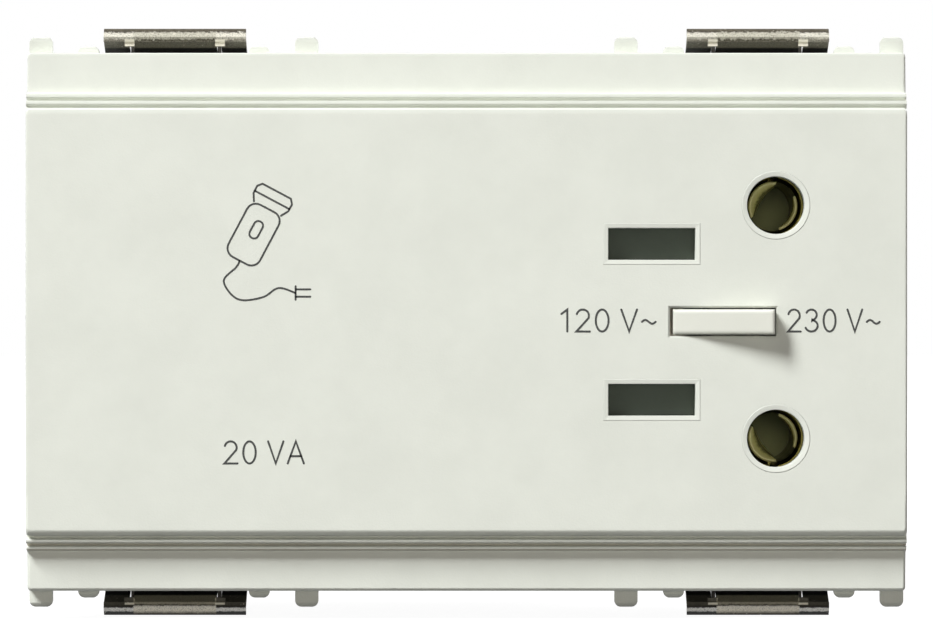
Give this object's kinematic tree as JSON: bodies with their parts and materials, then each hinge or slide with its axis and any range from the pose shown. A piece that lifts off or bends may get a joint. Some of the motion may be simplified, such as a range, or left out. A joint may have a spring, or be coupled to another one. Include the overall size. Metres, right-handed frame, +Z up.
{
  "type": "shaver socket",
  "caption": "Snap-in shaver socket with isolating transformer, rocker voltage selector, shuttered blade slots, round pin holes and spring clips.",
  "frame": {"origin": "centre of the rim's rear face, which seats on the wall frame", "axes": "+X to the right along the face, +Y into the wall, +Z up"},
  "size_m": [0.0718, 0.051, 0.0484],
  "materials": {
    "cover_plastic": "fine satin grain, off-white",
    "housing_plastic": "satin, light grey-white",
    "spring_steel": "worn, grey-brown sheet",
    "base_plastic": "dark grey moulding",
    "dark_plastic": "dark grey-green, smooth",
    "brass": "rolled strip",
    "zinc_steel": "bright zinc",
    "core_steel": "stacked laminations, varnished",
    "bobbin_plastic": "natural nylon",
    "copper_wire": "enamelled wire turns",
    "tape": "polyester tape",
    "insulating_sheet": "pressed insulating board"
  },
  "bodies": {
    "base": {"front_cover": "cover_plastic", "rear_housing": "housing_plastic", "clip_top_left": "spring_steel", "clip_top_right": "spring_steel", "clip_bottom_left": "spring_steel", "clip_bottom_right": "spring_steel", "switch_base": "base_plastic", "detent_spring": "spring_steel", "switch_contact_120": "brass", "switch_contact_230": "brass", "switch_common": "brass", "shutter_spring": "spring_steel", "contact_upper": "brass", "contact_lower": "brass", "contact_carrier": "base_plastic", "carrier_backplate": "base_plastic", "carrier_screws": "zinc_steel", "core_e_stack": "core_steel", "core_i_stack": "core_steel", "bobbin": "bobbin_plastic", "primary_winding": "copper_wire", "secondary_winding": "copper_wire", "winding_tape": "tape", "thermal_cutout": "dark_plastic", "insulating_partition": "insulating_sheet", "terminal_bar_l": "brass", "terminal_bar_n": "brass"},
    "rocker": {"selector_rocker": "cover_plastic"},
    "slider": {"switch_slider": "dark_plastic", "switch_bridge": "brass"},
    "shutter": {"shutter": "dark_plastic"},
    "screw_l": {"terminal_screw_l": "zinc_steel"},
    "cage_l": {"terminal_cage_l": "zinc_steel"},
    "screw_n": {"terminal_screw_n": "zinc_steel"},
    "cage_n": {"terminal_cage_n": "zinc_steel"}
  },
  "joints": [
    {"name": "selector_tilt", "type": "hinge", "parent": "base", "child": "rocker", "pos_m": [0.0209, -0.0051, 0], "axis": [0, 0, 1], "range_deg": [0, 26]},
    {"name": "switch_slide", "type": "slide", "parent": "base", "child": "slider", "axis": [1, 0, 0], "range_m": [-0.00413, 0], "deforming": ["detent_spring"]},
    {"name": "shutter_slide", "type": "slide", "parent": "base", "child": "shutter", "axis": [0, 0, 1], "range_m": [0, 0.0029], "stiffness_N_per_m": 60, "springref_m": -0.003, "deforming": ["shutter_spring"]},
    {"name": "screw_l_turn", "type": "hinge", "parent": "base", "child": "screw_l", "pos_m": [0.0284, 0.031, 0.007], "axis": [0, -1, 0], "range_deg": [0, 720]},
    {"name": "cage_l_rise", "type": "slide", "parent": "base", "child": "cage_l", "axis": [0, 1, 0], "range_m": [0, 0.0012]},
    {"name": "screw_n_turn", "type": "hinge", "parent": "base", "child": "screw_n", "pos_m": [0.0284, 0.031, -0.007], "axis": [0, -1, 0], "range_deg": [0, 720]},
    {"name": "cage_n_rise", "type": "slide", "parent": "base", "child": "cage_n", "axis": [0, 1, 0], "range_m": [0, 0.0012]}
  ],
  "couplings": [
    {"joint": "selector_tilt", "follows": "switch_slide", "rad_per_m": -109.63},
    {"joint": "screw_l_turn", "follows": "cage_l_rise", "rad_per_m": 10472},
    {"joint": "screw_n_turn", "follows": "cage_n_rise", "rad_per_m": 10472}
  ]
}
